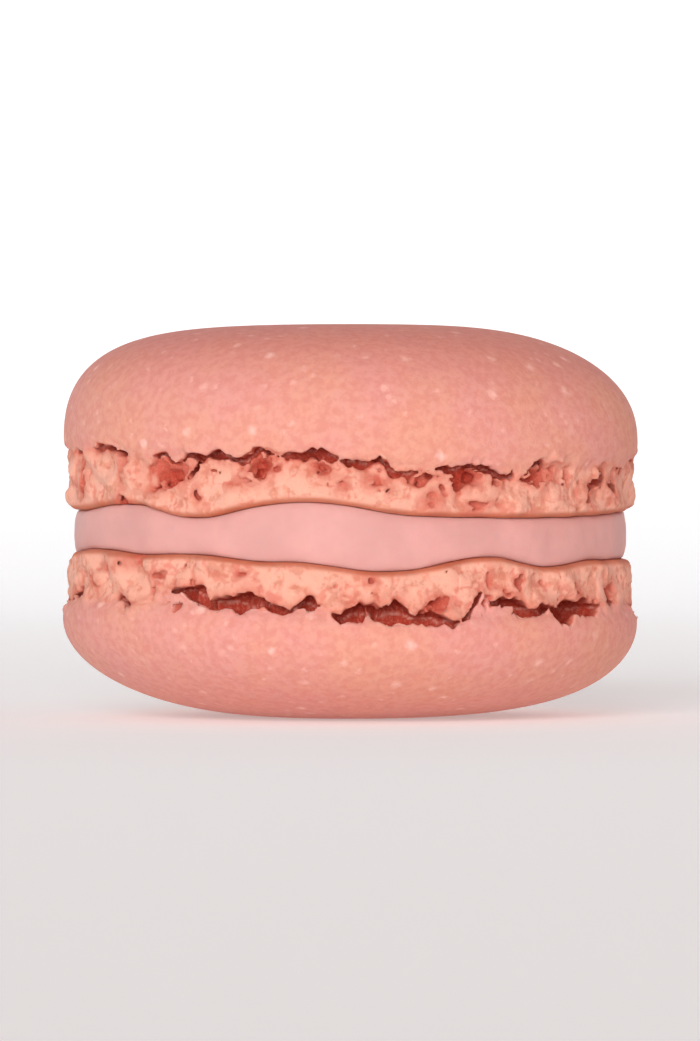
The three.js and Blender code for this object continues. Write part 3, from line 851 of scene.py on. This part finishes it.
class Nodes:
    """A small helper that adds nodes to a tree, left to right, and links them."""

    def __init__(self, tree):
        self.tree = tree
        self.column = 0

    def add(self, kind, inputs=(), **settings):
        node = self.tree.nodes.new(kind)
        self.column += 1
        node.location = (NODE_SPACING * self.column, 0)
        for name, value in settings.items():
            setattr(node, name, value)
        for key, value in dict(inputs).items():
            self.feed(node.inputs[key], value)
        return node

    def feed(self, socket, value):
        if isinstance(value, bpy.types.NodeSocket):
            self.tree.links.new(value, socket)
        else:
            socket.default_value = value

    def math(self, operation, a, b=0.0):
        return self.add("ShaderNodeMath", {0: a, 1: b}, operation=operation).outputs[0]

    def range(self, value, low, high, to_low=0.0, to_high=1.0):
        inputs = {"Value": value, "From Min": low, "From Max": high, "To Min": to_low, "To Max": to_high}
        return self.add("ShaderNodeMapRange", inputs, interpolation_type="SMOOTHSTEP").outputs["Result"]

    def mix(self, share, a, b, blend="MIX"):
        first, second, result = COLOUR_SOCKETS
        node = self.add("ShaderNodeMix", data_type="RGBA", blend_type=blend)
        for socket, value in ((0, share), (first, a), (second, b)):
            self.feed(node.inputs[socket], value)
        return node.outputs[result]

    def mix_numbers(self, share, a, b):
        first, second, result = NUMBER_SOCKETS
        inputs = {0: share, first: a, second: b}
        return self.add("ShaderNodeMix", inputs, data_type="FLOAT").outputs[result]

    def most(self, *values):
        """The largest of some values."""
        largest = values[0]
        for value in values[1:]:
            largest = self.math("MAXIMUM", largest, value)
        return largest

    def noise(self, place, scale, detail=2.0, roughness=0.5):
        inputs = {"Vector": place, "Scale": scale, "Detail": detail, "Roughness": roughness}
        return self.add("ShaderNodeTexNoise", inputs).outputs["Fac"]

    def attribute(self, name):
        return self.add("ShaderNodeAttribute", attribute_name=name).outputs["Fac"]

    def position(self):
        return self.add("ShaderNodeTexCoord").outputs["Object"]


def shade(rgb):
    return (*rgb, 1.0)


def grain_group():
    """Grain: fine grit, as a height, and slow mottling, both worked out from the place on the piece."""
    group = bpy.data.node_groups.new("Grain", "ShaderNodeTree")
    face = group.interface
    face.new_socket("Place", in_out="INPUT", socket_type="NodeSocketVector")
    for name, default in (("Grit Scale", 3000.0), ("Mottle Scale", 250.0)):
        face.new_socket(name, in_out="INPUT", socket_type="NodeSocketFloat").default_value = default
    for name in ("Grit", "Mottle"):
        face.new_socket(name, in_out="OUTPUT", socket_type="NodeSocketFloat")
    nodes = Nodes(group)
    given = nodes.add("NodeGroupInput").outputs
    grit = nodes.noise(given["Place"], given["Grit Scale"], 4.0, 0.65)
    mottle = nodes.noise(given["Place"], given["Mottle Scale"], 3.0, 0.55)
    nodes.add("NodeGroupOutput", {"Grit": grit, "Mottle": nodes.range(mottle, 0.3, 0.7)})
    return group


def grained(nodes, place, grit_scale, mottle_scale):
    """Grit and mottling of a material, by the scales of both in cells for each metre."""
    node = nodes.add("ShaderNodeGroup", node_tree=bpy.data.node_groups.get("Grain") or grain_group())
    for key, value in {"Place": place, "Grit Scale": grit_scale, "Mottle Scale": mottle_scale}.items():
        nodes.feed(node.inputs[key], value)
    return node.outputs["Grit"], node.outputs["Mottle"]


def new_material(name, settings):
    material = bpy.data.materials.new(name)
    material.use_nodes = True
    nodes = Nodes(material.node_tree)
    principled = material.node_tree.nodes["Principled BSDF"]
    for key, value in settings.items():
        principled.inputs[key].default_value = value
    return material, nodes, principled


# Scales of each finish, in cells for each metre: of its grit, and of its mottling.
SKIN_GRAIN = (1700.0, 170.0)
CRUMB_GRAIN = (5200.0, 520.0)
CREAM_GRAIN = (1500.0, 260.0)

MIDDLE_HEIGHT = 13.0  # of the filling above the floor
TOAST_SHADE_REACH = (8.5, 14.0)  # distances from the middle between which the skin grows darker and redder: painted shade where the domes turn from the light, with some toasting
TOAST_SHADE_SHARE = 0.65  # how much it does
FLECKS = ((440.0, 0.24, 0.85), (850.0, 0.27, 0.45))  # cells for each metre, radius in cells, strength
FLECK_NOISE = 2400.0  # cells for each metre of what makes them uneven
FLECK_SHIFT = 0.5 * MM  # how far it pushes them
FLECK_RELIEF = 0.25  # how far they stand out of the skin


def flecks(nodes, place, scale, radius, strength):
    """Scattered pale flecks of uneven outline, in one cell out of a few."""
    noise = nodes.add("ShaderNodeTexNoise", {"Vector": place, "Scale": FLECK_NOISE, "Detail": 1.0})
    inputs = {0: noise.outputs["Color"], 1: (FLECK_SHIFT, FLECK_SHIFT, FLECK_SHIFT), 2: place}
    moved = nodes.add("ShaderNodeVectorMath", inputs, operation="MULTIPLY_ADD")
    cells = nodes.add("ShaderNodeTexVoronoi", {"Vector": moved.outputs[0], "Scale": scale})
    chosen = nodes.range(cells.outputs["Color"], 0.3, 0.6, to_high=strength)
    return nodes.math("MULTIPLY", nodes.range(cells.outputs["Distance"], radius, 0.0), chosen)


def skin_look(nodes, place):
    """Colour and fine relief of the skin: mottled pink, darker and redder towards the apexes in painted shade
    with some toasting, flecked with almond.
    """
    colours = bpy.context.scene.macaron_colours
    grit, mottle = grained(nodes, place, *SKIN_GRAIN)
    look = nodes.mix(mottle, shade(colours.skin), shade(colours.skin_warm))
    height = nodes.add("ShaderNodeSeparateXYZ", {"Vector": place}).outputs["Z"]
    from_middle = nodes.math("ABSOLUTE", nodes.math("SUBTRACT", height, MIDDLE_HEIGHT * MM))
    # Painted shade towards both apexes, where the domes turn from the light, with some toasting.
    reddened = nodes.range(from_middle, *(away * MM for away in TOAST_SHADE_REACH), to_high=TOAST_SHADE_SHARE)
    look = nodes.mix(reddened, look, shade(colours.skin_toast_and_shade))
    low_spots = nodes.range(grit, 0.62, 0.35, to_high=0.36)
    look = nodes.mix(low_spots, look, shade(colours.skin_shadow))
    speck = nodes.most(*(flecks(nodes, place, *kind) for kind in FLECKS))
    relief = nodes.math("ADD", grit, nodes.math("MULTIPLY", speck, FLECK_RELIEF))
    return nodes.mix(speck, look, shade(colours.fleck)), relief


def crumb_look(nodes, place):
    """Colour and fine relief of the crumb: tan and pink, paler on its crests in painted highlight, darker in
    its creases in painted shade and browner in real blotches, darker at the rim of the foot in painted shade
    with some browning, and moist and red in the tears, where painted shade darkens it with depth."""
    colours = bpy.context.scene.macaron_colours
    grit, mottle = grained(nodes, place, *CRUMB_GRAIN)
    crease, depth, away = (nodes.attribute(name) for name in ("crease", "depth", "away"))
    look = nodes.mix(mottle, shade(colours.crumb), shade(colours.crumb_pink))
    # Painted highlight on the crests, where the creases are shallowest.
    look = nodes.mix(nodes.range(crease, 0.55, 0.1, to_high=0.8), look, shade(colours.crumb_crest_highlight))

    # Painted shade in the creases and pores, mixed with real browner grit and blotches.
    in_creases = nodes.range(crease, 0.5, 1.0)
    in_grit = nodes.range(grit, 0.58, 0.75, to_high=0.5)
    in_blotches = nodes.range(nodes.noise(place, 1000.0, 3.0, 0.6), 0.52, 0.66, to_high=0.8)
    darkened = nodes.math("MULTIPLY", nodes.most(in_creases, in_grit, in_blotches), 0.55)
    # Painted shade at the rim, where the foot meets the filling, with some real browning.
    uneven = nodes.range(nodes.noise(place, 150.0), 0.35, 0.65, to_low=0.8)
    at_rim = nodes.math("MULTIPLY", nodes.attribute("rim"), uneven)
    look = nodes.mix(nodes.most(darkened, at_rim), look, shade(colours.crumb_brown_and_shade))

    # Painted shade: the tears' colour darkens with depth.
    tear = nodes.mix(nodes.range(depth, 0.25, 1.1), shade(colours.tear), shade(colours.tear_deep_shaded))
    # Painted shade: a faint halo of tear colour round each tear.
    look = nodes.mix(nodes.range(away, 0.9, 0.1, to_high=0.35), look, shade(colours.tear))
    # How much tear colour covers the crumb inside a tear: real moist red, more of it with depth as painted
    # shade.
    moist_and_shaded = nodes.range(depth, -0.05, 0.4, to_low=0.35, to_high=0.95)
    moist_and_shaded = nodes.math("MULTIPLY", nodes.range(away, 0.3, 0.02), moist_and_shaded)
    dry_grains = nodes.range(grit, 0.45, 0.7, to_high=0.35)
    return nodes.mix(moist_and_shaded, look, nodes.mix(dry_grains, tear, look)), grit


def meringue():
    """Dry, matt almond meringue: smooth pink skin, tan crumb where it tore, moist red in the tears, darker
    with depth in painted shade.
    """
    name = "Almond meringue"
    if name in bpy.data.materials:
        return bpy.data.materials[name]
    material, nodes, principled = new_material(name, {
        "Roughness": 0.7,
        "Specular IOR Level": 0.08,
        "Subsurface Weight": 0.35,
        "Subsurface Radius": (1.0, 0.4, 0.25),
        "Subsurface Scale": 0.45 * MM,
    })
    place = nodes.position()
    skin, skin_relief = skin_look(nodes, place)
    crumb, crumb_relief = crumb_look(nodes, place)
    torn = nodes.attribute("crumb")
    base = nodes.mix(torn, skin, crumb)
    height = nodes.mix_numbers(torn, skin_relief, crumb_relief)
    bump = nodes.add("ShaderNodeBump", {"Strength": 0.5, "Distance": 0.12 * MM, "Height": height})
    nodes.feed(principled.inputs["Base Color"], base)
    nodes.feed(principled.inputs["Normal"], bump.outputs["Normal"])
    return material


CREAM_MOTTLE = 0.9  # how bright the darker spots of the buttercream are beside the rest


def buttercream():
    """Satin pink buttercream, faintly mottled."""
    pink = bpy.context.scene.macaron_colours.filling
    material, nodes, principled = new_material("Pink buttercream", {
        "Roughness": 0.5,
        "Specular IOR Level": 0.15,
        "Subsurface Weight": 0.5,
        "Subsurface Radius": (1.0, 0.45, 0.35),
        "Subsurface Scale": 0.8 * MM,
    })
    place = nodes.position()
    grit, mottle = grained(nodes, place, *CREAM_GRAIN)
    darker = shade(CREAM_MOTTLE * part for part in pink)
    nodes.feed(principled.inputs["Base Color"], nodes.mix(mottle, shade(pink), darker))
    bump = nodes.add("ShaderNodeBump", {"Strength": 0.25, "Distance": 0.08 * MM, "Height": grit})
    nodes.feed(principled.inputs["Normal"], bump.outputs["Normal"])
    return material


PAPER_GLOW = (1.0, 0.98, 0.97)  # light that the studio's other walls would throw on the paper
PAPER_GLOW_STRENGTH = 0.27


def paper():
    """Pale paper that can be seen through from behind and from below."""
    material, nodes, principled = new_material("Pale paper", {
        "Roughness": 0.9,
        "Specular IOR Level": 0.1,
        "Emission Color": shade(PAPER_GLOW),
        "Emission Strength": PAPER_GLOW_STRENGTH,
    })
    tone = nodes.range(nodes.noise(nodes.position(), 400.0, 3.0), 0.3, 0.7, to_low=0.985)
    base = nodes.mix(1.0, shade(bpy.context.scene.macaron_stage.floor), tone, "MULTIPLY")
    nodes.feed(principled.inputs["Base Color"], base)
    behind = nodes.add("ShaderNodeNewGeometry").outputs["Backfacing"]
    clear = nodes.add("ShaderNodeBsdfTransparent").outputs["BSDF"]
    front = principled.outputs["BSDF"]
    one_sided = nodes.add("ShaderNodeMixShader", {0: behind, 1: front, 2: clear}).outputs["Shader"]
    nodes.feed(material.node_tree.nodes["Material Output"].inputs["Surface"], one_sided)
    return material


# ---- Operators ------------------------------------------------------------------------------------

class MACARON_OT_shells(bpy.types.Operator):
    """Carves both meringue shells, with their torn feet"""
    bl_idname = "macaron.shells"
    bl_label = "Meringue Shells"
    bl_options = {"REGISTER", "UNDO"}

    def execute(self, context):
        for facts, side in ((UPPER, "upper"), (LOWER, "lower")):
            finish_piece(bake_shell(facts, side), facts["node"], meringue())
        return {"FINISHED"}


class MACARON_OT_filling(bpy.types.Operator):
    """Squeezes the buttercream between the undersides of the shells"""
    bl_idname = "macaron.filling"
    bl_label = "Filling"
    bl_options = {"REGISTER", "UNDO"}

    def execute(self, context):
        piece = build_object("buttercream", *filling_mesh())
        finish_piece(piece, "filling", buttercream())
        return {"FINISHED"}


class MACARON_OT_stage(bpy.types.Operator):
    """Lays the paper, and sets the lights and the camera"""
    bl_idname = "macaron.stage"
    bl_label = "Stage"
    bl_options = {"REGISTER", "UNDO"}

    def execute(self, context):
        lay_paper()
        set_lights(context.scene)
        set_camera(context.scene)
        return {"FINISHED"}


PAPER_WIDTH = 1.6
PAPER_FRONT = -0.9  # its front edge, along Y
PAPER_BACK = 0.35  # where it begins to curve up
PAPER_CURVE = 0.25  # radius of the curve
PAPER_CURVE_STEPS = 12
PAPER_TOP = 0.35


def lay_paper():
    """A sheet of paper that lies flat and curves up behind the macaron."""
    outline = [(PAPER_FRONT, 0.0)]
    for step in range(PAPER_CURVE_STEPS + 1):
        turn = math.pi / 2 * step / PAPER_CURVE_STEPS
        outline.append((PAPER_BACK + PAPER_CURVE * math.sin(turn), PAPER_CURVE * (1 - math.cos(turn))))
    outline.append((PAPER_BACK + PAPER_CURVE, PAPER_TOP))
    points = [(side * PAPER_WIDTH / 2, y, z) for y, z in outline for side in (-1, 1)]
    faces = [(2 * i, 2 * i + 1, 2 * i + 3, 2 * i + 2) for i in range(len(outline) - 1)]
    floor = build_object("paper", np.array(points), faces)
    floor.data.shade_smooth()
    floor.data.materials.append(paper())


def aim(thing, place, target):
    """Puts a lamp or a camera at a place, looking at a target."""
    thing.location = place
    thing.rotation_euler = (Vector(place) - Vector(target)).to_track_quat("Z", "Y").to_euler()


# Lamps: degrees to the right of the camera, degrees above the floor, and how many degrees they are across.
KEY = {"tint": (0.98, 1.0, 1.02), "side": -11.0, "height": 10.0, "softness": 35.0}
BOUNCE = {"tint": (1.0, 0.5, 0.45), "side": 75.0, "height": 5.0, "softness": 80.0}
FILL_TINT = (1.0, 0.76, 0.72)


def hang_lamp(name, energy, tint, side, height, softness):
    """A distant lamp, aimed at the macaron."""
    data = bpy.data.lights.new(name, "SUN")
    data.energy = energy
    data.color = tint
    data.angle = math.radians(softness)
    lamp = bpy.data.objects.new(name, data)
    bpy.context.scene.collection.objects.link(lamp)
    side, height = math.radians(side), math.radians(height)
    level = math.cos(height)
    aim(lamp, (math.sin(side) * level, -math.cos(side) * level, math.sin(height)), (0, 0, 0))


def set_lights(scene):
    stage = scene.macaron_stage
    hang_lamp("key", stage.key, **KEY)
    hang_lamp("bounce", stage.bounce, **BOUNCE)

    world = bpy.data.worlds.new("studio")
    world.use_nodes = True
    background = world.node_tree.nodes["Background"]
    background.inputs["Color"].default_value = shade(FILL_TINT)
    background.inputs["Strength"].default_value = stage.fill
    scene.world = world
    scene.view_settings.view_transform = "Standard"


PICTURE = (700, 1041)  # width and height that the camera is framed for
CAMERA_TILT = 0.5  # degrees that the camera looks down


def set_camera(scene):
    stage = scene.macaron_stage
    low, high = cad_box
    data = bpy.data.cameras.new("camera")
    data.lens = stage.lens
    data.clip_start = 0.01
    picture_height = (high.x - low.x) / stage.share * PICTURE[1] / PICTURE[0]
    distance = picture_height * data.lens / data.sensor_width
    camera = bpy.data.objects.new("camera", data)
    scene.collection.objects.link(camera)
    tilt = math.radians(CAMERA_TILT)
    middle = (0.0, 0.0, high.z / 2)
    aim(camera, (0.0, -distance * math.cos(tilt), middle[2] + distance * math.sin(tilt)), middle)
    scene.camera = camera


class MACARON_PT_panel(bpy.types.Panel):
    """Sizes, colours and pieces of the macaron"""
    bl_idname = "MACARON_PT_panel"
    bl_label = "French Macaron"
    bl_space_type = "VIEW_3D"
    bl_region_type = "UI"
    bl_category = "Macaron"

    def draw(self, context):
        for operator in OPERATORS:
            self.layout.operator(operator.bl_idname)
        for name, group in SETTINGS.items():
            box = self.layout.box()
            box.label(text=group.__doc__)
            for key in group.__annotations__:
                box.prop(getattr(context.scene, name), key)


OPERATORS = (MACARON_OT_shells, MACARON_OT_filling, MACARON_OT_stage)
SETTINGS = {"macaron_shape": MacaronShape, "macaron_colours": MacaronColours, "macaron_stage": MacaronStage}


def register():
    for name, group in SETTINGS.items():
        bpy.utils.register_class(group)
        setattr(bpy.types.Scene, name, PointerProperty(type=group))
    for entry in (*OPERATORS, MACARON_PT_panel):
        bpy.utils.register_class(entry)


def unregister():
    for entry in reversed((*OPERATORS, MACARON_PT_panel)):
        bpy.utils.unregister_class(entry)
    for name, group in SETTINGS.items():
        delattr(bpy.types.Scene, name)
        bpy.utils.unregister_class(group)


def main():
    register()
    bpy.ops.macaron.shells()
    bpy.ops.macaron.filling()
    bpy.ops.macaron.stage()


if __name__ == "__main__":
    main()
